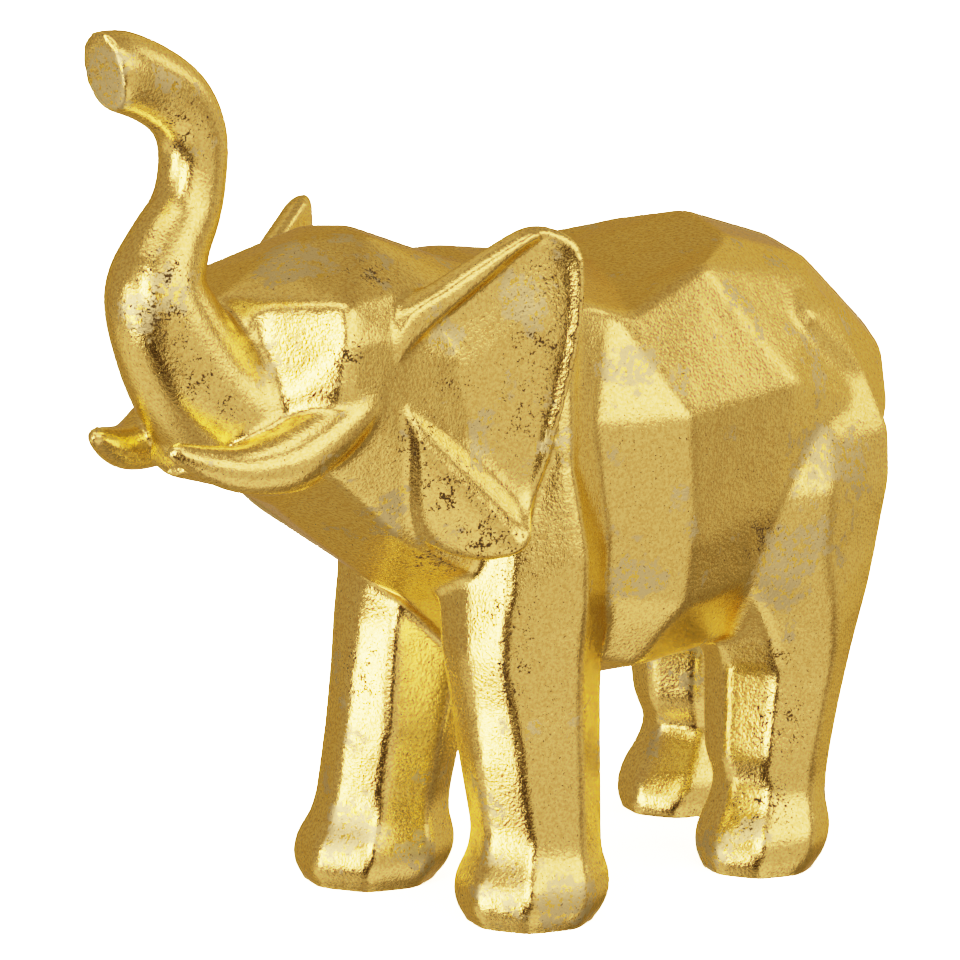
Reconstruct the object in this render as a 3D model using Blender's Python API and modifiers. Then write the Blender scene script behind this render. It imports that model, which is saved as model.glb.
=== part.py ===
"""Standing elephant figurine with a raised trunk, cast in one piece and modelled as one solid.

The form is put together from faceted masses. Each mass is a loft through closed rings. One voxel
remesh joins them, a smoothing pass softens the facet edges, and the soles are cut flat.
+Z is up, the head faces -Y, and the figurine's left side is at +X.
"""

import bmesh
import bpy
import numpy as np

# Driving sizes, in metres.
HEIGHT = 0.240  # soles to the top of the raised trunk
FOOT_RADIUS = 0.0209  # widest part of a front foot's pad
FOOT_HEIGHT = 0.022  # sole to the ankle above the pad
HIND_FOOT_SHARE = 0.89  # a hind foot's radius, as a share of a front foot's
EAR_THICKNESS = 0.0050  # plate of the ear, front face to back face
EAR_RIM = 0.0018  # how far the rolled rim stands above the ear's plate
TRUNK_RADIUS = 0.0088  # the trunk at its slimmest, below the bend
TUSK_RADIUS = 0.0062  # a tusk where it leaves the cheek
TAIL_RADIUS = 0.0042

# Surface sizes, in metres and passes.
JOIN_PITCH = 0.0014  # size of the voxels that join the masses
BODY_PASSES = 12  # smoothing passes on torso, limbs and head
DETAIL_PASSES = 5  # smoothing passes once ears, tusks and tail are on
TRIANGLES = 9000
SMOOTHING = 0.5  # how far one pass moves a point towards its neighbours' mean

# The pose, proportions and facets below are in 240ths of the height.
SHARE = HEIGHT / 240


def remove_everything():
    for obj in list(bpy.data.objects):
        bpy.data.objects.remove(obj, do_unlink=True)


def convex_split(quad):
    """The two triangles of a quad, cut along the diagonal that stands further out."""
    a, b, c, d = quad
    normal = np.cross(c - a, d - b)
    outward = np.dot(normal, (a + c) - (b + d))
    return ((0, 1, 2), (0, 2, 3)) if outward > 0 else ((0, 1, 3), (1, 2, 3))


def loft(name, rings):
    """A closed mesh through rings of equal corner count, with a fan over each end."""
    rings = np.asarray(rings, float)
    stations, corners, _ = rings.shape
    points = rings.reshape(-1, 3)
    faces = []
    for station in range(stations - 1):
        for corner in range(corners):
            following = (corner + 1) % corners
            quad = [
                station * corners + corner,
                station * corners + following,
                (station + 1) * corners + following,
                (station + 1) * corners + corner,
            ]
            for split in convex_split(points[quad]):
                faces.append([quad[i] for i in split])
    faces.append(list(range(corners))[::-1])
    faces.append([(stations - 1) * corners + i for i in range(corners)])
    mesh = bpy.data.meshes.new(name)
    mesh.from_pydata(points.tolist(), [], faces)
    form = bmesh.new()
    form.from_mesh(mesh)
    bmesh.ops.recalc_face_normals(form, faces=form.faces)
    bmesh.ops.triangulate(form, faces=form.faces)
    form.to_mesh(mesh)
    form.free()
    obj = bpy.data.objects.new(name, mesh)
    bpy.context.scene.collection.objects.link(obj)
    return obj


def mirrored_ring(half):
    """A ring from its +X half, which runs from the top centre to the bottom centre."""
    half = np.asarray(half, float)
    other = half[-2:0:-1] * (-1, 1, 1)
    return np.vstack([half, other])


ROUND = 0.71  # corner reach that makes a regular octagon


def octagon(height, x, y, out, inner, front, back, corner=ROUND, side=1):
    """A level ring of eight corners: front, front-out, out, back-out and so round to front-in."""
    reach = [
        (0, -front),
        (corner * out, -corner * front),
        (out, 0),
        (corner * out, corner * back),
        (0, back),
        (-corner * inner, corner * back),
        (-inner, 0),
        (-corner * inner, -corner * front),
    ]
    return [(side * (x + dx), y + dy, height) for dx, dy in reach]


def along(path, count):
    """Stations evenly spaced on a smooth curve through the path's rows (Catmull-Rom), open or closed."""
    path = np.asarray(path, float)
    if np.allclose(path[0], path[-1]):
        ends = np.vstack([path[-2], path, path[1]])
    else:
        ends = np.vstack([2 * path[0] - path[1], path, 2 * path[-1] - path[-2]])
    spot = np.linspace(0, len(path) - 1, count)
    first = np.minimum(spot.astype(int), len(path) - 2)
    t = (spot - first)[:, None]
    p0, p1, p2, p3 = (ends[first + i] for i in range(4))
    return 0.5 * (
        2 * p1
        + (p2 - p0) * t
        + (2 * p0 - 5 * p1 + 4 * p2 - p3) * t**2
        + (3 * p1 - p0 - 3 * p2 + p3) * t**3
    )


def tube(name, path, count, corners):
    """A tapering tube on a smooth curve. Each path row is x, y, z, half width, half depth."""
    rows = along(path, count)
    centre, wide, deep = rows[:, :3], rows[:, 3], rows[:, 4]
    heading = np.gradient(centre, axis=0)
    heading /= np.linalg.norm(heading, axis=1)[:, None]
    side = (1, 0, 0) - heading * heading[:, :1]
    side /= np.linalg.norm(side, axis=1)[:, None]
    over = np.cross(heading, side)
    turn = (np.arange(corners) + 0.5) * 2 * np.pi / corners
    rings = (
        centre[:, None]
        + np.cos(turn)[None, :, None] * side[:, None] * wide[:, None, None]
        + np.sin(turn)[None, :, None] * over[:, None] * deep[:, None, None]
    )
    return loft(name, rings)


# Torso: each station gives its top, its belly, its half width and the y of its eight facet corners.
SECTION = [(0, 1), (0.44, 0.965), (0.85, 0.87), (1, 0.62), (1, 0.40), (0.92, 0.24), (0.68, 0.09), (0, 0)]
TORSO = [
    (175, 98, 30, (-44, -44, -44, -44, -44, -44, -44, -44)),
    (175.5, 74, 42, (-14, -14, -14, -14, -14, -14, -14, -14)),
    (171.5, 59, 43, (12, 12, 9, 0, 3, 5, 4, 6)),
    (164.5, 54, 52, (42, 27, 13, 27, 27, 27, 23, 22)),
    (175, 54, 46, (76, 70, 60, 72, 62, 55, 54, 56)),
    (165, 60, 41, (108, 104, 100, 100, 98, 96, 92, 90)),
    (140, 84, 27, (137, 136, 131, 129, 126, 122, 117, 113)),
]


def torso():
    rings = []
    for top, belly, half, ys in TORSO:
        rows = [(half * wide, y, belly + (top - belly) * tall) for (wide, tall), y in zip(SECTION, ys)]
        rings.append(mirrored_ring(rows))
    return loft("torso", np.array(rings) * SHARE)


# Legs: height and radius of the pad, ankle and shaft, as shares of the foot's height and radius.
PAD = [(-0.3, 0.72), (0.0, 0.80), (0.14, 0.93), (0.36, 1.0), (0.58, 0.98), (0.84, 0.86), (1.1, 0.83)]

# Above the ankle: height, x, y, reach out, inward, forward and back, and how square the corners are.
FORELEG = [
    (45, 26.0, -7.0, 18.9, 18.9, 18.9, 18.9, 0.71),
    (60, 25.0, -7.5, 19.8, 19.8, 20.0, 19.8, 0.71),
    (73, 24.5, -8.5, 21.5, 20.8, 21.4, 20.8, 0.71),
    (86, 24.5, -9.5, 24.0, 21.0, 21.0, 21.0, 0.72),
    (100, 24.0, -11.0, 26.0, 22.0, 20.5, 22.0, 0.72),
    (124, 20.0, -13.0, 27.5, 20.0, 17.0, 20.0, 0.72),
    (145, 17.0, -11.0, 27.0, 18.0, 15.0, 23.0, 0.74),
    (160, 14.0, -8.0, 27.0, 14.0, 14.0, 24.0, 0.74),
    (169, 8.0, -6.0, 14.0, 8.0, 10.0, 17.0, 0.74),
]
HIND_LEG = [
    (32, 29.5, 79.0, 17.3, 17.3, 17.3, 17.3, 0.71),
    (45, 28.5, 82.0, 18.8, 18.8, 18.8, 18.0, 0.71),
    (56, 28.0, 84.5, 20.0, 20.0, 20.5, 19.0, 0.71),
    (67, 27.0, 84.5, 23.0, 21.0, 28.0, 23.5, 0.72),
    (87, 24.0, 80.0, 26.0, 22.0, 36.0, 34.0, 0.78),
    (104, 22.0, 82.0, 28.5, 20.0, 34.0, 34.5, 0.80),
    (117, 20.0, 86.0, 30.5, 18.0, 26.0, 31.0, 0.80),
    (131, 18.0, 88.0, 29.5, 16.0, 24.0, 28.0, 0.80),
    (150, 14.0, 86.0, 29.5, 12.0, 32.0, 20.0, 0.78),
    (163, 8.0, 84.0, 21.0, 8.0, 30.0, 10.0, 0.78),
]

# How far back a leg swings from its stations, at these heights: the right legs are in mid stride.
STRIDE_HEIGHTS = (20, 45, 65, 85, 125)
STANDING = (0, 0, 0, 0, 0)
FORE_STANDING = (-0.7, -0.7, -0.5, 0, 0)
FORE_STRIDE = (0.5, 1.2, 5, 12, 10)
HIND_STRIDE = (37, 29.5, 27, 18, 0)

# Legs: name, side, x and y of the sole, x and y of the ankle, share of the foot's radius, stations
# above it, stride.
LEGS = [
    ("foreleg_left", 1, (26.0, -7.6), (26.4, -5.8), 1.0, FORELEG, FORE_STANDING),
    ("foreleg_right", -1, (34.6, -7.8), (31.2, -6.0), 1.05, FORELEG, FORE_STRIDE),
    ("hind_leg_left", 1, (30.5, 74.4), (30.2, 79.0), HIND_FOOT_SHARE, HIND_LEG, STANDING),
    ("hind_leg_right", -1, (31.0, 106.3), (30.7, 114.5), HIND_FOOT_SHARE, HIND_LEG, HIND_STRIDE),
]


def leg(name, side, sole, ankle, pad_share, stations, stride):
    radius = FOOT_RADIUS / SHARE * pad_share
    rings = []
    for tall, wide in PAD:
        reach = radius * wide
        x, y = np.array(sole) + (np.array(ankle) - sole) * max(0, tall)
        rings.append(octagon(tall * FOOT_HEIGHT / SHARE, x, y, reach, reach, reach, reach, side=side))
    for height, x, y, out, inner, front, back, corner in stations:
        y += np.interp(height, STRIDE_HEIGHTS, stride)
        rings.append(octagon(height, x, y, out, inner, front, back, corner, side))
    return loft(name, np.array(rings) * SHARE)


# Head: each station is the +X half of a ring: crown, brow, temple, cheek, jaw, under-jaw and chin.
HEAD = [
    [(0, -98, 160), (8, -98, 158), (14, -98, 150), (16, -98, 142), (14, -102, 134), (10, -108, 130), (0, -110, 127.5)],
    [(0, -91, 171), (9, -88, 170), (19, -84.5, 168.5), (15, -89, 160), (18, -92, 140), (13, -90, 124.5), (0, -88, 120)],
    [(0, -71, 178.5), (14, -69, 175), (31, -76, 169), (34, -78, 161), (34, -79, 146), (21, -77, 125), (0, -72, 114)],
    [(0, -48, 184.6), (14, -48, 181.6), (30, -54, 172), (35, -58, 160), (35, -58, 132), (27, -56, 109), (0, -56, 102)],
    [(0, -24, 174), (14, -24, 174), (30, -28, 168), (37, -32, 150), (37, -32, 122), (28, -32, 96), (0, -36, 88)],
    [(0, -8, 172), (13, -8, 171), (28, -8, 164), (36, -8, 148), (36, -8, 120), (28, -8, 90), (0, -12, 76)],
]


def head():
    return loft("head", np.array([mirrored_ring(half) for half in HEAD]) * SHARE)


# Trunk: x, y, z, half width and half depth, the last two as shares of the slimmest radius.
TRUNK = [
    (0, -76, 138, 2.2, 1.7),
    (0, -88, 142, 2.25, 2.1),
    (0, -98.5, 150, 2.05, 1.9),
    (0, -107, 161.8, 1.8, 1.72),
    (0, -112.2, 174.5, 1.52, 1.5),
    (0, -108.3, 185, 1.24, 1.23),
    (0, -102.4, 193.8, 1.06, 1.06),
    (0, -99.9, 203, 1.0, 1.02),
    (0, -100.0, 212.5, 1.02, 1.04),
    (0, -105.0, 220.9, 1.02, 1.12),
    (0, -114.5, 227, 1.0, 1.16),
    (0, -124.5, 230.8, 0.98, 1.18),
    (0, -130, 231.9, 0.88, 1.04),
]


def trunk():
    radius = TRUNK_RADIUS / SHARE
    path = [(x, y, z, wide * radius, deep * radius) for x, y, z, wide, deep in TRUNK]
    return tube("trunk", np.array(path) * SHARE, 40, 12)


# Tusk: x, y, z and radius as a share of the radius where it leaves the cheek.
TUSK = [
    (22, -60, 147, 1.2),
    (25, -71, 143, 1.5),
    (26.5, -82, 137, 1.5),
    (25, -92, 132.3, 1.36),
    (21.5, -103, 131.3, 1.02),
    (18, -112, 133.6, 0.74),
    (14.8, -119.5, 137.2, 0.42),
    (14.2, -121, 138.4, 0.2),
]


def tusk(side):
    radius = TUSK_RADIUS / SHARE
    path = [(side * x, y, z, share * radius, share * radius) for x, y, z, share in TUSK]
    return tube(f"tusk_{side}", np.array(path) * SHARE, 20, 8)


# Ear: the outline as y and z seen from the side, from the root's top round to its foot.
EAR_OUTLINE = [
    (-61, 167), (-48, 174), (-35, 180.8), (-23, 185.8), (-15, 183.6), (-12, 176), (-13, 157),
    (-18, 126), (-25, 106), (-34, 100.5), (-46, 104.5), (-54, 115), (-60, 138), (-63.5, 156),
]
EAR_RINGS = (1, 1.0, 0.96, 0.9, 0.82, 0.7, 0.55, 0.35, 0.12)  # outline drawn in towards its middle
EAR_FRONT = (-61, 32)  # y and x where the ear leaves the cheek
EAR_BACK = -11  # y of its free rear edge
FOLD = ((-62, 155), (-20, 186))  # y and z of the fold under the rolled front band, root to tip
BAND_LIFT = 3.6  # how far the band stands out at its root
FOLD_DEPTH = 2.4


# Ears: side, x of the rear edge, how far the ear is raised, and its length as a share of the outline's.
EARS = [(1, 45.5, 0.3, 1), (-1, 52, -1.8, 0.92)]


def ear(side, rear_x, raised, length_share):
    """A dished plate: its x grows with y by 0.3 t + 0.7 t squared, and it is rolled along the rim.

    Ahead of the fold line the plate stands out as a band. Just behind the line it sinks. Both die out
    towards the ear's tip.
    """
    outline = along(EAR_OUTLINE + EAR_OUTLINE[:1], 49)[:-1]
    middle = outline.mean(0)
    shares = np.array(EAR_RINGS)[:, None, None]
    flat = middle + (outline - middle) * shares
    y, z = flat[..., 0], flat[..., 1]
    t = np.clip((y - EAR_FRONT[0]) / (EAR_BACK - EAR_FRONT[0]), 0, 1.1)
    plate = EAR_FRONT[1] + (rear_x - EAR_FRONT[1]) * (0.3 * t + 0.7 * t**2)

    (root_y, root_z), (tip_y, tip_z) = FOLD
    run, rise = tip_y - root_y, tip_z - root_z
    length = np.hypot(run, rise)
    behind = ((y - root_y) * rise - (z - root_z) * run) / length
    fading = 1 - np.clip(((y - root_y) * run + (z - root_z) * rise) / length**2, 0, 1) * 0.8
    band = BAND_LIFT * fading * np.clip(0.5 - behind / 2, 0, 1)
    groove = FOLD_DEPTH * fading * np.interp(behind, (-2, 1, 5, 16), (0, 1, 1, 0))
    rim = EAR_RIM / SHARE * np.interp(np.array(EAR_RINGS), (0.84, 0.92), (0, 1))[:, None]

    half = EAR_THICKNESS / SHARE / 2
    front = plate + half + band - groove + rim
    back = plate - half
    front[0] = plate[0] + 0.2 * half
    y, z = EAR_BACK + (y - EAR_BACK) * length_share, z + raised
    rings = [np.stack([side * back[i], y[i], z[i]], 1) for i in range(len(shares) - 1, 0, -1)]
    rings += [np.stack([side * front[i], y[i], z[i]], 1) for i in range(len(shares))]
    return loft(f"ear_{side}", np.array(rings) * SHARE)


# Tail: x, y, z and radius as a share of the tail's own.
TAIL = [(0, 133, 138, 0.9), (0, 140, 130, 1.0), (0, 141, 116, 0.9), (0, 137, 102, 0.8), (0, 132, 92, 1.0), (0, 127, 83, 0.5)]


def tail():
    radius = TAIL_RADIUS / SHARE
    path = [(x, y, z, share * radius, share * radius) for x, y, z, share in TAIL]
    return tube("tail", np.array(path) * SHARE, 18, 8)


def joined(name, masses, passes):
    """The masses as one closed mesh, with its edges softened by smoothing passes."""
    form = bmesh.new()
    for mass in masses:
        form.from_mesh(mass.data)
    mesh = bpy.data.meshes.new(name)
    form.to_mesh(mesh)
    form.free()
    for mass in masses:
        bpy.data.objects.remove(mass, do_unlink=True)
    obj = bpy.data.objects.new(name, mesh)
    bpy.context.scene.collection.objects.link(obj)
    remesh = obj.modifiers.new("Join", "REMESH")
    remesh.mode = "VOXEL"
    remesh.voxel_size = JOIN_PITCH
    smooth = obj.modifiers.new("Soften", "SMOOTH")
    smooth.factor = SMOOTHING
    smooth.iterations = passes
    return applied(obj)


def applied(obj):
    """The object with its modifiers worked into its mesh."""
    graph = bpy.context.evaluated_depsgraph_get()
    mesh = bpy.data.meshes.new_from_object(obj.evaluated_get(graph))
    obj.modifiers.clear()
    obj.data = mesh
    return obj


def cut_soles(obj):
    """Cuts the feet flat at z = 0 and closes the four soles."""
    form = bmesh.new()
    form.from_mesh(obj.data)
    everything = form.verts[:] + form.edges[:] + form.faces[:]
    cut = bmesh.ops.bisect_plane(
        form, geom=everything, dist=1e-7, plane_co=(0, 0, 0), plane_no=(0, 0, -1), clear_outer=True
    )
    rims = [edge for edge in cut["geom_cut"] if isinstance(edge, bmesh.types.BMEdge)]
    bmesh.ops.holes_fill(form, edges=rims)
    bmesh.ops.recalc_face_normals(form, faces=form.faces)
    form.to_mesh(obj.data)
    form.free()


def centre_on_origin(obj):
    """Moves the mesh so that its box is centred on x and y, with the soles left at z = 0."""
    count = len(obj.data.vertices)
    points = np.empty(count * 3)
    obj.data.vertices.foreach_get("co", points)
    points = points.reshape(-1, 3)
    middle = (points.min(0) + points.max(0)) / 2
    points -= (middle[0], middle[1], 0)
    obj.data.vertices.foreach_set("co", points.ravel())
    print("moved by", middle[:2])


def gold_leaf():
    material = bpy.data.materials.new("gold_leaf_on_resin")
    material.use_nodes = True
    shader = material.node_tree.nodes["Principled BSDF"]
    shader.inputs["Base Color"].default_value = (0.68, 0.47, 0.14, 1)
    shader.inputs["Metallic"].default_value = 1.0
    shader.inputs["Roughness"].default_value = 0.38
    return material


def figurine():
    masses = [torso(), head(), trunk()] + [leg(*row) for row in LEGS]
    body = joined("body", masses, BODY_PASSES)
    obj = joined("elephant", [body, tusk(1), tusk(-1), tail()] + [ear(*row) for row in EARS], DETAIL_PASSES)
    thin = obj.modifiers.new("Thin", "DECIMATE")
    thin.ratio = min(1.0, TRIANGLES / (2 * len(obj.data.polygons)))
    thin.use_collapse_triangulate = True
    applied(obj)
    cut_soles(obj)
    centre_on_origin(obj)
    obj.data.materials.clear()
    obj.data.materials.append(gold_leaf())
    obj.data.shade_smooth()
    return obj


remove_everything()
part = bpy.data.collections.new("Elephant figurine")
bpy.context.scene.collection.children.link(part)
elephant = figurine()
for holder in list(elephant.users_collection):
    holder.objects.unlink(elephant)
part.objects.link(elephant)
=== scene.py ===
"""Gold leaf elephant figurine: the cast resin body, its gold leaf, and the studio it is seen in.

Lengths in the sections are millimetres. +Z is up, the head faces -Y and the left side is at +X. The
casting's own zero is between the feet, and it is moved onto the CAD model's box when it is put together.
"""

import bmesh
import bpy
import numpy as np
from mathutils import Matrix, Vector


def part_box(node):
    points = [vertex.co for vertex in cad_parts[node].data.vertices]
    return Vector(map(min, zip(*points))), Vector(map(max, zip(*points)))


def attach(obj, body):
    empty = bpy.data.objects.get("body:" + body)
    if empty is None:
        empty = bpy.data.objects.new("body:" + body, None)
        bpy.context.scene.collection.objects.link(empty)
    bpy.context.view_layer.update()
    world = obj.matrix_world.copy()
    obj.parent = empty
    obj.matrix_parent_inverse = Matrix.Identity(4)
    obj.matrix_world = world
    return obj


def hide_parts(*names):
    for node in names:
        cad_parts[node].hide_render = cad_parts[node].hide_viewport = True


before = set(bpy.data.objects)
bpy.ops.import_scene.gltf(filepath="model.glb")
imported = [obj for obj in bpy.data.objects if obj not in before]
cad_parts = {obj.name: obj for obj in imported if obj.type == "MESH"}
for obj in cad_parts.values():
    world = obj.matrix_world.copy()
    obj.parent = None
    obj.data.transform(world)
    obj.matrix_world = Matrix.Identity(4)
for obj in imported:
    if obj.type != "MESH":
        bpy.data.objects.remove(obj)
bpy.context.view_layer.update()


# Torso
# The body of the casting, polyresin poured into a rubber mould. The master was carved in broad flat
# facets with softened edges: a back with a dip behind the shoulders, flanks and a narrowing rump.

# Corners of a section from the spine down the flank to the belly: share of the half width, and of the
# height. The third corner, the shoulder's edge, and the fourth, the flank's, take theirs from the station.
FLANK_WIDTHS = (0, 0.44, None, 1, 0.98, 0.92, 0.68, 0)
FLANK_HEIGHTS = (1, 0.965, None, None, 0.40, 0.24, 0.09, 0)
# Stations from the neck to the rump: top, belly, half width, the upper edge's shares of the half width and
# of the height, the flank edge's share of the height, and the y of each corner.
TORSO = [
    (175, 98, 30, 0.85, 0.87, 0.62, (-44, -44, -44, -44, -44, -44, -44, -44)),
    (175.5, 74, 42, 0.85, 0.88, 0.62, (-14, -14, -14, -14, -14, -14, -14, -14)),
    (172, 61, 44.5, 0.85, 0.91, 0.62, (8, 8, 3, -10, -3, -1, -2, 0)),
    (170, 58, 42.5, 0.90, 0.91, 0.66, (15, 15, 9, 0, 6, 7, 6, 8)),
    (164.5, 54, 52, 0.75, 0.94, 0.70, (42, 29, 16, 25, 27, 27, 23, 22)),
    (175, 54, 48.5, 0.70, 0.935, 0.66, (76, 70, 48, 69, 62, 55, 54, 56)),
    (165, 60, 41, 0.66, 0.935, 0.62, (108, 104, 95, 100, 98, 96, 92, 90)),
    (140, 84, 27, 0.85, 0.87, 0.62, (137, 136, 131, 129, 126, 122, 117, 113)),
]


def lofted(rings):
    """A closed surface through rings of points: vertex (i, j) is corner j of ring i.

    Each quad between two rings is cut along the diagonal that stands out further. A fan about the mean of
    the first and of the last ring closes the ends. A surface of negative volume is turned round.
    """
    rings = np.asarray(rings, float)
    count, corners = rings.shape[:2]
    points = np.vstack([rings.reshape(-1, 3), rings[0].mean(0), rings[-1].mean(0)])
    i, j = np.meshgrid(np.arange(count - 1), np.arange(corners), indexing="ij")
    k = (j + 1) % corners
    quads = np.stack([i * corners + j, i * corners + k, (i + 1) * corners + k, (i + 1) * corners + j], -1)
    quads = quads.reshape(-1, 4)
    around = np.arange(corners)
    following = (around + 1) % corners
    near_end = np.stack([following, around, np.full(corners, len(points) - 2)], 1)
    last = (count - 1) * corners
    far_end = np.stack([last + around, last + following, np.full(corners, len(points) - 1)], 1)

    a, b, c, d = points[quads].transpose(1, 0, 2)
    volume = (a * np.cross(b, c)).sum() + (a * np.cross(c, d)).sum()
    stands_out = ((a + c - b - d) * np.cross(c - a, d - b)).sum(1) * np.sign(volume) > 0
    split = np.where(stands_out[:, None], quads[:, [0, 1, 2, 0, 2, 3]], quads[:, [0, 1, 3, 1, 2, 3]])
    triangles = np.vstack([split.reshape(-1, 3), near_end, far_end])
    if volume < 0:
        triangles = triangles[:, ::-1]
    return points, triangles


def both_sides(halves):
    """Whole rings from their +X halves, which run from the top centre to the bottom centre."""
    halves = np.asarray(halves, float)
    return np.concatenate([halves, halves[:, -2:0:-1] * (-1, 1, 1)], axis=1)


halves = []
for top, belly, half, edge_out, edge_up, flank_up, ys in TORSO:
    wide = np.array(FLANK_WIDTHS[:2] + (edge_out,) + FLANK_WIDTHS[3:])
    tall = np.array(FLANK_HEIGHTS[:2] + (edge_up, flank_up) + FLANK_HEIGHTS[4:])
    halves.append(np.stack([half * wide, ys, belly + (top - belly) * tall], 1))
torso = lofted(both_sides(halves))


# Legs
# Four columns of eight flat faces each, cast with the body. Each stands on a swelling round pad whose sole
# was ground flat. The left legs stand straight. The right legs are in mid stride.

FOOT_RADIUS = 20.9
FOOT_HEIGHT = 22.0
OCTAGON = 0.71  # how square the corners of a regular octagon are
# The pad, from inside the sole to the ankle: share of the foot's height and of its radius.
PAD = [(-0.3, 0.72), (0.0, 0.80), (0.14, 0.93), (0.36, 1.0), (0.58, 0.98), (0.84, 0.86), (1.1, 0.83)]
# Above the ankle: height, x, y, reach out, inward, forward and back, how square the corners are, and how far
# the diagonal corners are turned towards the front and the back.
FORELEG = [
    (45, 26.0, -7.0, 18.9, 18.9, 18.9, 18.9, 0.71, 0.04),
    (60, 25.0, -7.5, 19.8, 19.8, 20.0, 19.8, 0.71, 0.1),
    (73, 24.5, -8.5, 21.5, 20.8, 21.4, 20.8, 0.71, 0.14),
    (86, 24.5, -9.5, 24.0, 21.0, 21.0, 21.0, 0.72, 0.15),
    (100, 24.0, -11.0, 26.0, 22.0, 18.5, 25.0, 0.70, 0.15),
    (124, 20.0, -13.0, 26.5, 20.0, 14.0, 20.0, 0.68, 0.08),
    (145, 17.0, -11.0, 27.0, 18.0, 15.0, 23.0, 0.74, 0),
    (160, 14.0, -8.0, 27.0, 14.0, 14.0, 24.0, 0.74, 0),
    (169, 8.0, -6.0, 14.0, 8.0, 10.0, 17.0, 0.74, 0),
]
HIND_LEG = [
    (32, 29.5, 79.0, 17.3, 17.3, 17.3, 17.3, 0.71, 0),
    (45, 28.5, 82.0, 18.8, 18.8, 18.8, 18.0, 0.71, 0),
    (56, 28.0, 84.5, 20.0, 20.0, 20.5, 19.0, 0.71, 0),
    (64, 27.3, 84.5, 21.8, 20.8, 24.0, 21.5, 0.72, 0),
    (75, 26.0, 83.0, 24.2, 21.3, 30.0, 27.5, 0.74, 0),
    (87, 24.0, 80.0, 26.0, 22.0, 36.0, 34.0, 0.78, 0),
    (104, 22.0, 82.0, 28.5, 20.0, 34.0, 34.0, 0.82, 0),
    (117, 20.0, 85.0, 27.0, 18.0, 26.0, 31.0, 0.86, 0),
    (131, 18.0, 86.0, 22.5, 16.0, 22.0, 28.0, 0.84, 0),
    (150, 14.0, 86.0, 23.0, 12.0, 26.0, 20.0, 0.78, 0),
    (163, 8.0, 84.0, 15.0, 8.0, 20.0, 10.0, 0.78, 0),
]
# How far back each leg swings from its stations, at these heights.
STRIDE_HEIGHTS = (20, 45, 65, 85, 125)
# Side, x and y of the sole, x and y of the ankle, share of the foot's radius, stations, stride.
LEGS = [
    (1, (26.0, -7.6), (26.4, -5.8), 1.0, FORELEG, (-0.7, -0.7, -0.5, 0, 0)),
    (-1, (34.6, -7.8), (31.2, -6.0), 1.05, FORELEG, (0.5, 1.2, 5, 12, 10)),
    (1, (30.5, 74.4), (30.2, 79.0), 0.89, HIND_LEG, (0, 0, 0, 0, 0)),
    (-1, (31.0, 106.3), (30.7, 114.5), 0.89, HIND_LEG, (37, 29.5, 27, 18, 0)),
]
# Directions of the eight corners, from the front round by the outside: x outward and y back.
EIGHT = np.array([(0, -1), (1, -1), (1, 0), (1, 1), (0, 1), (-1, 1), (-1, 0), (-1, -1)], float)


def leg(side, sole, ankle, pad_share, stations, stride):
    """Level rings of eight corners, one for each height.

    A corner's x is the ring's x plus its reach out or inward, and its y the same with the reach forward or
    back. The four diagonal corners are drawn in by the station's squareness, less the turn across and plus
    the turn lengthwise.
    """
    sole, ankle = np.array(sole), np.array(ankle)
    tall, wide = np.array(PAD).T
    centre = sole + (ankle - sole) * np.clip(tall, 0, None)[:, None]
    reach = FOOT_RADIUS * pad_share * wide
    square, turn = np.full(len(PAD), OCTAGON), np.zeros(len(PAD))
    pad = np.column_stack([tall * FOOT_HEIGHT, centre, reach, reach, reach, reach, square, turn])
    shaft = np.array(stations)
    shaft[:, 2] += np.interp(shaft[:, 0], STRIDE_HEIGHTS, stride)
    z, x, y, out, inward, forward, back, square, turn = np.vstack([pad, shaft]).T[:, :, None]
    diagonal = np.abs(EIGHT).sum(1) == 2
    dx = EIGHT[:, 0] * np.where(diagonal, square - turn, 1) * np.where(EIGHT[:, 0] > 0, out, inward)
    dy = EIGHT[:, 1] * np.where(diagonal, square + turn, 1) * np.where(EIGHT[:, 1] > 0, back, forward)
    return lofted(np.stack([side * (x + dx), y + dy, z + 0 * dx], -1))


legs = [leg(*row) for row in LEGS]


# Head
# Cast with the body, and carved as the torso is: a domed forehead, a hollow above each eye, a flat cheek
# that faces forward and a jaw that slopes down to the chest. The eyes are only hinted at by the brow.

# Stations from the lip to the neck. Each is the +X half of a ring: crown, brow, temple, cheek, jaw,
# under-jaw and chin.
HEAD = [
    [(0, -98, 160), (8, -98, 158), (9, -98, 150), (12, -98, 142),
     (14, -102, 134), (10, -108, 130), (0, -110, 127.5)],
    [(0, -91, 171), (8, -88.5, 170), (13, -87, 169.5), (10, -91.5, 160),
     (21, -91, 146), (13, -90, 125.5), (0, -88, 121)],
    [(0, -65, 182), (16, -77.5, 174), (31, -76.5, 171), (34, -78, 162),
     (34, -80, 149.5), (27, -78, 127), (0, -72, 114)],
    [(0, -48, 184.6), (12, -52, 183.5), (29, -46, 172), (35, -58, 160),
     (35, -58, 132), (27, -56, 109), (0, -56, 102)],
    [(0, -24, 174), (14, -24, 174), (30, -28, 168), (37, -32, 150),
     (37, -32, 122), (28, -32, 96), (0, -36, 88)],
    [(0, -8, 172), (13, -8, 171), (28, -8, 164), (36, -8, 148),
     (36, -8, 120), (28, -8, 90), (0, -12, 76)],
]
head = lofted(both_sides(HEAD))


# Trunk
# A tapering tube raised in an S, cast with the head. Its end is cut off flat and shows an oval.

TRUNK_RADIUS = 8.8
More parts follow.
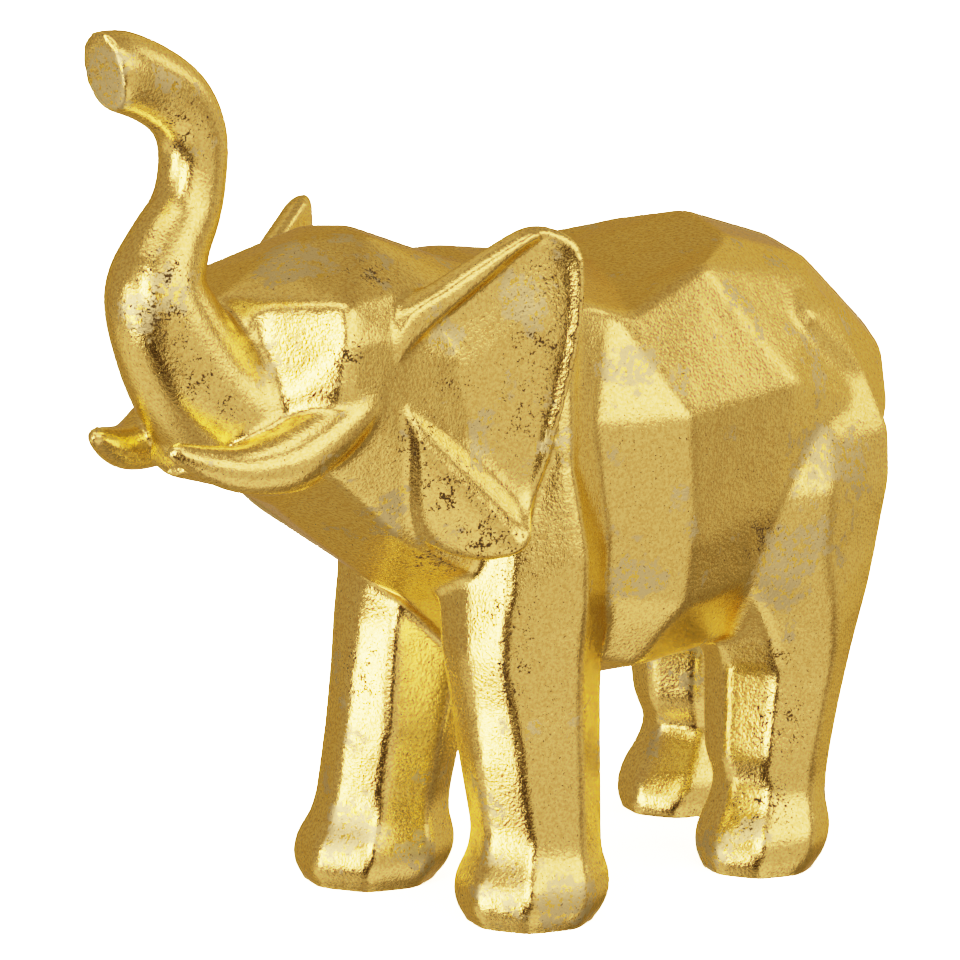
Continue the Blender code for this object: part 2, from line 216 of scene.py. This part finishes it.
# x, y, z, half width and half depth, the last two as shares of the radius.
TRUNK = [
    (0, -76, 138, 2.9, 1.9),
    (0, -88, 142, 2.55, 2.15),
    (0, -98.5, 150, 2.12, 1.95),
    (0, -107, 161.8, 1.8, 1.72),
    (0, -112.2, 174.5, 1.52, 1.5),
    (0, -108.3, 185, 1.24, 1.23),
    (0, -102.4, 193.8, 1.06, 1.06),
    (0, -99.9, 203, 1.0, 1.02),
    (0, -100.0, 212.5, 1.02, 1.04),
    (0, -105.0, 220.9, 1.02, 1.12),
    (0, -114.5, 227, 1.0, 1.16),
    (0, -124.5, 230.8, 0.98, 1.18),
    (0, -130, 231.9, 0.88, 1.06),
    (0, -137, 232.6, 0.84, 1.02),
]
TRUNK_END = ((0, -128.8, 231.6), (0, -0.98, -0.2))  # a point of the cut, and the way it faces


def along(rows, count):
    """Stations spaced evenly on a smooth curve through the rows, by the Catmull-Rom formula.

    A path whose last row repeats its first is closed. Columns after x, y and z are carried along too.
    """
    rows = np.asarray(rows, float)
    if np.allclose(rows[0], rows[-1]):
        padded = np.vstack([rows[-2], rows, rows[1]])
    else:
        padded = np.vstack([2 * rows[0] - rows[1], rows, 2 * rows[-1] - rows[-2]])
    spot = np.linspace(0, len(rows) - 1, count)
    first = np.minimum(spot.astype(int), len(rows) - 2)
    t = (spot - first)[:, None]
    p0, p1, p2, p3 = (padded[first + i] for i in range(4))
    return p1 + t / 2 * (p2 - p0 + t * (2 * p0 - 5 * p1 + 4 * p2 - p3 + t * (3 * p1 - p0 - 3 * p2 + p3)))


def tube(rows, radius, count, corners):
    """An oval profile carried along a smooth path: centre + cos u * wide * side + sin u * deep * over.

    side is the part of the X axis square to the path, and over is square to both.
    """
    stations = along(rows, count)
    centre, wide, deep = stations[:, :3], stations[:, 3] * radius, stations[:, 4] * radius
    heading = np.gradient(centre, axis=0)
    heading /= np.linalg.norm(heading, axis=1)[:, None]
    side = (1, 0, 0) - heading * heading[:, :1]
    side /= np.linalg.norm(side, axis=1)[:, None]
    over = np.cross(heading, side)
    u = (np.arange(corners) + 0.5) * 2 * np.pi / corners
    across = np.cos(u)[None, :, None] * (side * wide[:, None])[:, None]
    upward = np.sin(u)[None, :, None] * (over * deep[:, None])[:, None]
    return lofted(centre[:, None] + across + upward)


trunk = tube(TRUNK, TRUNK_RADIUS, 90, 24)


# Tusks
# Two short tusks cast with the cheeks. Each runs forward from the cheek's lower edge and curves up to a
# blunt tip under the trunk.

TUSK_RADIUS = 6.2
# x, y, z, and the radius twice, as shares of the radius above. The root sinks into the cheek as it runs back.
TUSK = np.array([
    (31.5, -59, 153, 0.3, 0.3),
    (31.0, -66, 148, 0.55, 0.55),
    (30.0, -72.5, 143.5, 0.9, 0.9),
    (28.3, -79, 139.5, 1.18, 1.18),
    (26.6, -86, 135.5, 1.32, 1.32),
    (25, -92, 132.5, 1.34, 1.34),
    (21.5, -103, 131.5, 1.02, 1.02),
    (18, -112, 133.8, 0.74, 0.74),
    (14.8, -119.5, 137.2, 0.42, 0.42),
    (14.2, -121, 138.4, 0.2, 0.2),
])
tusks = [tube(TUSK * (side, 1, 1, 1, 1), TUSK_RADIUS, 40, 16) for side in (1, -1)]


# Ears
# Large dished ears, cast with the head. The front edge is rolled forward into a band with a groove under it.
# Below the groove the dish falls to a crease and rises to a ridge, and then it turns in to the neck. The free
# rear edge flares out into a thin rim.

EAR_THICKNESS = 5.0
EAR_RIM = 1.2
# The outline as y and z seen from the side, from the root's top round to its foot.
EAR_OUTLINE = [
    (-61, 167), (-48, 174), (-35, 180.8), (-23, 185.8), (-15, 183.6), (-12, 176), (-13, 157),
    (-18, 126), (-25, 106), (-34, 100.5), (-46, 104.5), (-54, 115), (-60, 138), (-63.5, 156),
]
# The outline's points, and the shares of it at which the rings lie: close at the edge, wide in the middle.
OUTLINE_POINTS = 160
RINGS = np.concatenate([np.linspace(1, 0.85, 13), np.linspace(0.82, 0.04, 28)])
EAR_FRONT = (-61, 31)  # y and x where the ear leaves the cheek
EAR_BACK = -11  # y of the free rear edge
FLARE = 5.0
FLARE_START, FLARE_SPAN = 0.78, 0.22  # as shares of the way from front to back
FOLD = ((-62, 155), (-20, 185))  # y and z of the fold under the band, from its root to its tip
BAND_LIFT = 4.0
FOLD_DEPTH = 2.4
# The groove's depth as a share of FOLD_DEPTH, at these distances below the fold.
GROOVE_ACROSS = (-2, 1, 5, 16)
GROOVE_SHAPE = (0, 1, 1, 0)
CREASE = ((-57, 152), (-29, 124))  # y and z of the crease, from its root to its end
RIDGE_LIFT = 5.0
# The dish's rise as a share of RIDGE_LIFT, at these distances below the crease.
RIDGE_ACROSS = (-30, -6, 0, 4, 10, 13.5, 17, 26)
RIDGE_SHAPE = (0.2, -0.25, -0.35, -0.2, 0.6, 0.8, 0.5, -0.8)
# Side, x of the rear edge, how far the ear is raised, and its length as a share of the outline's.
EARS = [(1, 48.5, 0, 1), (-1, 53, -1.8, 0.92)]


def from_line(y, z, line):
    """How far a point lies below a line through two points, and its place along it from 0 to 1."""
    (start_y, start_z), (end_y, end_z) = line
    run, rise = end_y - start_y, end_z - start_z
    length = np.hypot(run, rise)
    below = ((y - start_y) * rise - (z - start_z) * run) / length
    return below, ((y - start_y) * run + (z - start_z) * rise) / length**2


def ear(side, rear_x, raised, length_share):
    """A dished plate on rings drawn in from the outline: x grows with y by 0.7 t + 0.3 t squared, and flares.

    t is the way from front to back. The band lifts the front face above the fold and the groove sinks it
    just under the fold, both fading to a fifth at the fold's tip. The ridge and its crease bend both faces.
    Each face is rounded off towards the edge as a quarter ellipse, and the rim stands up along the free rear
    edge.
    """
    front_y, front_x = EAR_FRONT
    outline = along(EAR_OUTLINE + EAR_OUTLINE[:1], OUTLINE_POINTS + 1)[:-1]
    flat = outline.mean(0) + (outline - outline.mean(0)) * RINGS[:, None, None]
    y, z = flat[..., 0], flat[..., 1]
    t = np.clip((y - front_y) / (EAR_BACK - front_y), 0, 1.1)
    plate = front_x + (rear_x - FLARE - front_x) * (0.7 * t + 0.3 * t**2)
    plate += FLARE * np.clip((t - FLARE_START) / FLARE_SPAN, 0, 1) ** 1.3

    below, place = from_line(y, z, FOLD)
    fading = 1 - np.clip(place, 0, 1) * 0.8
    band = BAND_LIFT * fading * np.clip(0.5 - below / 2, 0, 1)
    groove = FOLD_DEPTH * fading * np.interp(below, GROOVE_ACROSS, GROOVE_SHAPE) * np.clip(place / 0.25, 0.2, 1)
    below, place = from_line(y, z, CREASE)
    plate += RIDGE_LIFT * np.interp(below, RIDGE_ACROSS, RIDGE_SHAPE)
    rim = EAR_RIM * np.interp(RINGS, (0.86, 0.93), (0, 1))[:, None] * np.clip((y + 40) / 15, 0, 1)

    half = EAR_THICKNESS / 2 * np.sqrt(1 - np.clip((RINGS - 0.93) / 0.07, 0, 1) ** 2)[:, None]
    front = plate + half + (band - groove + rim) * half / EAR_THICKNESS * 2
    back = plate - half
    y, z = EAR_BACK + (y - EAR_BACK) * length_share, z + raised
    rear_face = np.stack([side * back, y, z], -1)[:0:-1]
    front_face = np.stack([side * front, y, z], -1)
    return lofted(np.concatenate([rear_face, front_face]))


ears = [ear(*row) for row in EARS]


# Tail
# A plain short tail, cast with the rump and lying against it. It narrows on its way down and ends in a small
# tuft between the thighs.

TAIL_RADIUS = 4.2
TAIL = [
    (0, 133, 138, 0.9, 0.9),
    (0, 140, 130, 1.0, 1.0),
    (0, 141, 116, 0.9, 0.9),
    (0, 137, 102, 0.8, 0.8),
    (0, 132, 92, 1.0, 1.0),
    (0, 127, 83, 0.5, 0.5),
]
tail = tube(TAIL, TAIL_RADIUS, 40, 12)


# Casting
# All the masses above come out of the mould as one piece of polyresin. The carver rounded the facets' edges
# by about two millimetres and left the ears, tusks and tail crisper. The soles are ground level.

MM = 0.001
PITCH = 0.9  # size of the voxels that join the masses
# Smoothing passes: each moves a point half way to its neighbours' mean.
BODY_PASSES = 29
DETAIL_PASSES = 8
TRIANGLES = 190000


def joined(name, masses, passes):
    """One closed skin around all the masses, smoothed by so many passes."""
    starts = np.cumsum([0] + [len(points) for points, _ in masses])
    points = np.vstack([points for points, _ in masses]) * MM
    triangles = np.vstack([triangles + start for (_, triangles), start in zip(masses, starts)])
    mesh = bpy.data.meshes.new(name)
    mesh.from_pydata(points, [], triangles)
    piece = bpy.data.objects.new(name, mesh)
    bpy.context.scene.collection.objects.link(piece)
    skin = piece.modifiers.new("Skin", "REMESH")
    skin.mode = "VOXEL"
    skin.voxel_size = PITCH * MM
    soften = piece.modifiers.new("Soften", "SMOOTH")
    soften.factor = 0.5
    soften.iterations = passes
    settle(piece)
    return piece


def settle(piece):
    """Works the modifiers into the piece's mesh."""
    graph = bpy.context.evaluated_depsgraph_get()
    mesh = bpy.data.meshes.new_from_object(piece.evaluated_get(graph))
    piece.modifiers.clear()
    piece.data = mesh


def as_mass(piece):
    """The points in millimetres and the triangles of a piece, which is then removed."""
    form = bmesh.new()
    form.from_mesh(piece.data)
    bmesh.ops.triangulate(form, faces=form.faces)
    form.to_mesh(piece.data)
    form.free()
    mesh = piece.data
    points = np.empty(len(mesh.vertices) * 3)
    mesh.vertices.foreach_get("co", points)
    corners = np.empty(len(mesh.loops), int)
    mesh.loops.foreach_get("vertex_index", corners)
    bpy.data.objects.remove(piece)
    return points.reshape(-1, 3) / MM, corners.reshape(-1, 3)


def cut(piece, point, outward, above=-10):
    """Cuts off what lies past a plane, by a point in millimetres and the way out, and caps it flat.

    Only what is higher than above is cut. The edges and corners are listed in the faces' own order, so that
    each run gives the mesh in the same order.
    """
    form = bmesh.new()
    form.from_mesh(piece.data)
    faces = [face for face in form.faces if face.calc_center_median().z > above * MM]
    edges = dict.fromkeys(edge for face in faces for edge in face.edges)
    everything = faces + list(edges) + list(dict.fromkeys(vert for face in faces for vert in face.verts))
    plane = {"plane_co": np.multiply(point, MM), "plane_no": outward, "clear_outer": True}
    rim = bmesh.ops.bisect_plane(form, geom=everything, dist=1e-7, **plane)["geom_cut"]
    bmesh.ops.holes_fill(form, edges=[edge for edge in rim if isinstance(edge, bmesh.types.BMEdge)])
    bmesh.ops.recalc_face_normals(form, faces=form.faces)
    form.to_mesh(piece.data)
    form.free()


# The tusks go in twice, so that their roots blend into the cheeks while their tips stay crisp.
body = joined("body", [torso, head, trunk] + legs + tusks, BODY_PASSES)
cut(body, *TRUNK_END, above=205)
body = as_mass(body)
casting = joined("elephant_casting", [body, tail] + tusks + ears, DETAIL_PASSES)
thin = casting.modifiers.new("Thin", "DECIMATE")
thin.ratio = min(1, TRIANGLES / (2 * len(casting.data.polygons)))
thin.use_collapse_triangulate = True
settle(casting)
cut(casting, (0, 0, 0), (0, 0, -1))

# Onto the middle of the CAD model's box, across and lengthwise.
points = np.empty(len(casting.data.vertices) * 3)
casting.data.vertices.foreach_get("co", points)
points = points.reshape(-1, 3)
low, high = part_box("elephant")
shift = (np.array(low) + high) / 2 - (points.min(0) + points.max(0)) / 2
points += (shift[0], shift[1], 0)
casting.data.vertices.foreach_set("co", points.ravel())
casting.data.shade_smooth()
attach(casting, "root")
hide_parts("elephant")


# Gold leaf
# Imitation gold, brass beaten to leaf, laid over size on the resin and lacquered. It is a bright satin metal
# with a fine crinkle. Rubbed places go dull beige, flecks stay yellow, and pores show dark. The crinkle's
# hollows carry painted shade and its tops a painted highlight. The leaf's reflections of itself are painted
# paler, and dark specks crowded along ridges and edges are a painted dark reflection.

# Painted shade in the crumples' hollows and a painted highlight on their tops.
GOLD_PAINTED_SHADE, GOLD_PAINTED_HIGHLIGHT = "DDB263", "FFDB80"  # in the hollows and on the tops of the crumples
GOLD_FLECK = "F2C458"
BEIGE = "C6B688"
PORE_AND_DARK_REFLECTION = "1C150A"
GOLD_PAINTED_REFLECTION = "F0EAB0"  # a paler gold seen only in the leaf's reflections of itself: a painted reflection that lightens the creases
EDGE_TINT = "FFE3A8"  # what gold goes to at a grazing angle
ROUGH_LEAF, ROUGH_WORN, ROUGH_PORE = 0.17, 0.42, 0.8


def linear(code):
    """A hex colour such as C9A24A, which is sRGB, as linear red, green, blue and alpha."""
    value = np.array([int(code[i : i + 2], 16) for i in (0, 2, 4)]) / 255
    return (*np.where(value > 0.04045, ((value + 0.055) / 1.055) ** 2.4, value / 12.92), 1)


def node(tree, kind, settings=None, **links):
    """Adds one node. settings are its own properties, and links are socket values or other nodes' outputs."""
    new = tree.nodes.new(kind)
    for name, value in (settings or {}).items():
        setattr(new, name, value)
    for name, value in links.items():
        socket = new.inputs[int(name[1:])] if name[1:].isdigit() else new.inputs[name.replace("_", " ")]
        if isinstance(value, bpy.types.NodeSocket):
            tree.links.new(value, socket)
        else:
            socket.default_value = value
    return new


leaf = bpy.data.materials.new("gold_leaf")
leaf.use_nodes = True
tree = leaf.node_tree
tree.nodes.clear()
place = node(tree, "ShaderNodeTexCoord").outputs["Object"]

# The leaf's crumples, about 0.4 mm across in truth, are drawn 0.8 mm across so that they show. Each mirrors
# another part of the studio, which is what makes it sparkle. Brush marks in the size and dents in the
# carving are about 4 mm and 15 mm across.
crumple = node(tree, "ShaderNodeTexNoise", Vector=place, Scale=1300.0, Detail=2.0, Roughness=0.6).outputs[0]
brushed = node(tree, "ShaderNodeTexNoise", Vector=place, Scale=260.0, Detail=2.0, Roughness=0.5).outputs[0]
dented = node(tree, "ShaderNodeTexNoise", Vector=place, Scale=70.0, Detail=1.0, Roughness=0.5).outputs[0]
relief = node(tree, "ShaderNodeBump", Strength=1.0, Distance=0.00011, Height=crumple).outputs[0]
relief = node(tree, "ShaderNodeBump", Strength=1.0, Distance=0.0001, Height=brushed, Normal=relief).outputs[0]
relief = node(tree, "ShaderNodeBump", Strength=1.0, Distance=0.0003, Height=dented, Normal=relief).outputs[0]

# Rubbed places, where the size shows dull beige through the leaf, and places along ridges and edges where dark
# specks crowd, partly pores and partly a painted dark reflection.
# Each is x, y, z and radius in the millimetres of the sections.
RUBBED = [
    (6, -73, 178, 26), (25, -60, 175, 16), (44, -31, 166, 22), (40, -45, 140, 14), (25, -66, 114, 20),
    (50, 84, 112, 28), (47, 72, 88, 22), (45, 14, 92, 16), (32, -32, 12, 18), (46, -12, 12, 15),
    (-26, -32, 12, 16), (-12, -10, 9, 14), (37, 55, 8, 16), (0, -130, 232, 12), (9, -112, 226, 14),
    (15, -33, 174, 18), (-44, -31, 166, 22), (-50, 84, 112, 28), (-25, -66, 114, 20),
]
SPECKS_AND_DARK_REFLECTION = [
    (49, -20, 172, 13), (47, -22, 156, 13), (46, -25, 139, 13), (40, -46, 150, 10), (35, -57, 134, 11),
    (38, -48, 121, 12), (41, -39, 107, 13), (13, -120, 181, 12), (12, -122, 169, 13), (17, -112, 155, 11),
    (40, -31, 98, 13), (39, -30, 84, 12), (39, -29, 70, 12), (48, 56, 95, 10), (43, 66, 60, 9),
    (43, 68, 42, 12), (23, -62, 177, 10), (33, -78, 158, 6), (-47, -22, 156, 16), (-41, -31, 84, 14),
    (8, -110, 214, 12), (20, -106, 146, 9), (22, -40, 100, 12), (-22, -26, 60, 13), (40, 66, 20, 12),
]


def nearness(spots):
    """1 at the middle of the nearest spot, falling evenly to 0 at its radius."""
    nearest = 0.0
    for *middle, radius in spots:
        centre = [float(value) for value in np.array(middle) * MM + (shift[0], shift[1], 0)]
        away = node(tree, "ShaderNodeVectorMath", {"operation": "DISTANCE"}, _0=place, _1=centre).outputs["Value"]
        close = node(
            tree, "ShaderNodeMapRange", Value=away, From_Max=radius * MM, To_Min=1.0, To_Max=0.0
        ).outputs[0]
        nearest = node(tree, "ShaderNodeMath", {"operation": "MAXIMUM"}, _0=nearest, _1=close).outputs[0]
    return nearest


# The rubbed patches are about 17 mm across, and flecks of leaf of about 2 mm are left in them.
patch = node(tree, "ShaderNodeTexNoise", Vector=place, Scale=60.0, Detail=4.0, Roughness=0.65).outputs[0]
add_times = {"operation": "MULTIPLY_ADD"}
patch = node(tree, "ShaderNodeMath", add_times, _0=nearness(RUBBED), _1=0.19, _2=patch).outputs[0]
rubbed = node(tree, "ShaderNodeMapRange", Value=patch, From_Min=0.6, From_Max=0.64).outputs[0]
fleck = node(tree, "ShaderNodeTexNoise", Vector=place, Scale=560.0, Detail=4.0, Roughness=0.7).outputs[0]
fleck = node(tree, "ShaderNodeMapRange", Value=fleck, From_Min=0.54, From_Max=0.57).outputs[0]
worn = node(tree, "ShaderNodeMath", {"operation": "SUBTRACT", "use_clamp": True}, _0=rubbed, _1=fleck).outputs[0]

# The pores are about 0.7 mm across and crowd together in clusters of about 3 mm.
pores_and_dark_reflection = node(tree, "ShaderNodeTexNoise", Vector=place, Scale=1500.0, Detail=2.0, Roughness=0.6).outputs[0]
crowd = node(tree, "ShaderNodeTexNoise", Vector=place, Scale=300.0, Detail=2.0, Roughness=0.6).outputs[0]
crowd = node(tree, "ShaderNodeMapRange", Value=crowd, From_Min=0.45, From_Max=0.6, To_Max=0.28).outputs[0]
# Near the listed spots the specks crowd densely along ridges and edges: a painted dark reflection on top of the
# real pores.
pores_and_dark_reflection = node(tree, "ShaderNodeMath", add_times, _0=nearness(SPECKS_AND_DARK_REFLECTION), _1=crowd, _2=pores_and_dark_reflection).outputs[0]
pores_and_dark_reflection = node(tree, "ShaderNodeMapRange", Value=pores_and_dark_reflection, From_Min=0.65, From_Max=0.68).outputs[0]

mixed = {"data_type": "RGBA"}
# raised is 0 in the crumples' hollows and 1 on their tops: it paints shade into the hollows and a highlight onto
# the tops.
raised = node(tree, "ShaderNodeMapRange", Value=crumple, From_Min=0.38, From_Max=0.6).outputs[0]
# Where the leaf is seen in a reflection of itself, its colour is painted paler: a painted reflection that keeps the
# creases light.
painted_pale_in_reflection = node(tree, "ShaderNodeLightPath").outputs["Is Glossy Ray"]
colour = node(tree, "ShaderNodeMix", mixed, _0=raised, _6=linear(GOLD_PAINTED_SHADE), _7=linear(GOLD_PAINTED_HIGHLIGHT)).outputs[2]
for share, over in ((rubbed, GOLD_FLECK), (worn, BEIGE), (painted_pale_in_reflection, GOLD_PAINTED_REFLECTION), (pores_and_dark_reflection, PORE_AND_DARK_REFLECTION)):
    colour = node(tree, "ShaderNodeMix", mixed, _0=share, _6=colour, _7=linear(over)).outputs[2]
metal = node(tree, "ShaderNodeMath", {"operation": "SUBTRACT"}, _0=1.0, _1=pores_and_dark_reflection).outputs[0]
rough = node(tree, "ShaderNodeMapRange", Value=worn, To_Min=ROUGH_LEAF, To_Max=ROUGH_WORN).outputs[0]
rough = node(tree, "ShaderNodeMix", {"data_type": "FLOAT"}, _0=pores_and_dark_reflection, _2=rough, _3=ROUGH_PORE).outputs[0]

shader = node(
    tree,
    "ShaderNodeBsdfPrincipled",
    Base_Color=colour,
    Metallic=metal,
    Roughness=rough,
    Specular_Tint=linear(EDGE_TINT),
    Normal=relief,
)
node(tree, "ShaderNodeOutputMaterial", Surface=shader.outputs[0])
casting.data.materials.clear()
casting.data.materials.append(leaf)


# Floor, light and camera
# A white paper table inside a studio tent of soft panels. Paper and tent are pure white to the camera, and the
# gold mirrors the tent alone.

PAPER_TO_LIGHT = (0.5, 0.5, 0.49, 1)
PAPER_TO_CAMERA = (80.0, 80.0, 80.0, 1)
TENT_TO_CAMERA = 120.0
TENT = 0.7  # brightness between the panels

bpy.ops.mesh.primitive_plane_add(size=16)
floor = bpy.context.object
floor.name = "floor"
paper = bpy.data.materials.new("white_paper")
paper.use_nodes = True
tree = paper.node_tree
tree.nodes.clear()
to_camera = node(tree, "ShaderNodeLightPath").outputs["Is Camera Ray"]
matt = node(tree, "ShaderNodeBsdfDiffuse", Color=PAPER_TO_LIGHT).outputs[0]
white = node(tree, "ShaderNodeBsdfDiffuse", Color=PAPER_TO_CAMERA).outputs[0]
paper_shader = node(tree, "ShaderNodeMixShader", _0=to_camera, _1=matt, _2=white).outputs[0]
node(tree, "ShaderNodeOutputMaterial", Surface=paper_shader)
floor.data.materials.append(paper)
floor.visible_glossy = False

world = bpy.data.worlds.new("studio")
bpy.context.scene.world = world
world.use_nodes = True
tree = world.node_tree
tree.nodes.clear()
direction = node(tree, "ShaderNodeTexCoord").outputs["Generated"]
x, y, z = node(tree, "ShaderNodeSeparateXYZ", Vector=direction).outputs
forward = node(tree, "ShaderNodeMath", {"operation": "MULTIPLY"}, _0=y, _1=-1.0).outputs[0]
azimuth = node(tree, "ShaderNodeMath", {"operation": "ARCTAN2"}, _0=x, _1=forward).outputs[0]
elevation = node(tree, "ShaderNodeMath", {"operation": "ARCSINE"}, _0=z).outputs[0]


def within(angle, middle, half, edge):
    """1 where an angle is nearer to the middle than half, 0 past half + edge, smooth between. Degrees."""
    off = node(tree, "ShaderNodeMath", {"operation": "SUBTRACT"}, _0=angle, _1=float(np.radians(middle))).outputs[0]
    off = node(tree, "ShaderNodeMath", {"operation": "WRAP"}, _0=off, _1=-np.pi, _2=np.pi).outputs[0]
    off = node(tree, "ShaderNodeMath", {"operation": "ABSOLUTE"}, _0=off).outputs[0]
    limits = {"From_Min": float(np.radians(half + edge)), "From_Max": float(np.radians(half))}
    smooth = {"interpolation_type": "SMOOTHSTEP"}
    return node(tree, "ShaderNodeMapRange", smooth, Value=off, **limits).outputs[0]


# Azimuth and elevation of each panel's middle, its half width and half height, its soft edge and brightness.
# Azimuth 0 is -Y and 90 is +X. A later panel lies over an earlier one.
PANELS = [
    (180, 10, 25, 25, 15, 1.35),
    (160, -45, 40, 20, 10, 0.35),
    (-45, -42, 25, 13, 10, 2.0),
    (85, -18, 35, 12, 8, 1.7),
    (30, 68, 60, 8, 8, 8.0),
    (92, 20, 31, 12, 9, 7.5),
    (2, 12, 12, 18, 6, 1.6),
    (-12, -10, 8, 15, 5, 32.0),
    (20, 13, 6, 15, 5, 36.0),
    (45, -5, 9, 20, 4, 0.02),
    (22, -36, 20, 13, 6, 0.05),
    (75, -58, 35, 16, 10, 2.6),
    (157.5, 21, 3, 8, 3.5, 10.0),
    (-102, 52, 14, 14, 5, 1.25),
]
tent = TENT
for middle, height, wide, tall, edge, level in PANELS:
    across, upright = within(azimuth, middle, wide, edge), within(elevation, height, tall, edge)
    inside = node(tree, "ShaderNodeMath", {"operation": "MULTIPLY"}, _0=across, _1=upright).outputs[0]
    tent = node(tree, "ShaderNodeMix", {"data_type": "FLOAT"}, _0=inside, _2=tent, _3=level).outputs[0]
backdrop = node(tree, "ShaderNodeBackground", Color=(1, 1, 1, 1), Strength=TENT_TO_CAMERA).outputs[0]
panels = node(tree, "ShaderNodeBackground", Color=(1, 1, 1, 1), Strength=tent).outputs[0]
to_camera = node(tree, "ShaderNodeLightPath").outputs["Is Camera Ray"]
sky = node(tree, "ShaderNodeMixShader", _0=to_camera, _1=panels, _2=backdrop).outputs[0]
node(tree, "ShaderNodeOutputWorld", Surface=sky)

# The camera was fitted to the soles, the outline and the facet corners.
AZIMUTH, ELEVATION = 45.5, 11.2
DISTANCE, TARGET_HEIGHT = 1.7205, 0.1115  # metres
FOCAL, IMAGE = 6600, 960  # pixels
a, e = np.radians((AZIMUTH, ELEVATION))
target = np.array((shift[0], shift[1], TARGET_HEIGHT))
back = np.array((np.sin(a) * np.cos(e), -np.cos(a) * np.cos(e), np.sin(e)))
lens = bpy.data.cameras.new("camera")
lens.sensor_width = 36
lens.lens = FOCAL / IMAGE * lens.sensor_width
lens.clip_end = 100
camera = bpy.data.objects.new("camera", lens)
camera.location = target + back * DISTANCE
camera.rotation_euler = (np.radians(90 - ELEVATION), 0, a)
bpy.context.scene.collection.objects.link(camera)
bpy.context.scene.camera = camera

# A gentle tone curve, x / (1 + x), which brings bright gold slowly towards white. The photograph is balanced
# warm, so green and blue are taken down first.
WHITE = 40  # brightness that comes out pure white
BALANCE = (1, 0.71, 0.41)
CURVE_AT = (0.3, 0.7, 1.2, 2, 3, 5, 8, 14, 24)  # brightnesses at which the curve is set
view = bpy.context.scene.view_settings
view.view_transform = "Standard"
view.use_curve_mapping = True
tones = view.curve_mapping
tones.white_level = [WHITE / share for share in BALANCE]
for level in CURVE_AT:
    tones.curves[3].points.new(level / WHITE, level / (1 + level) * (1 + 1 / WHITE))
tones.update()
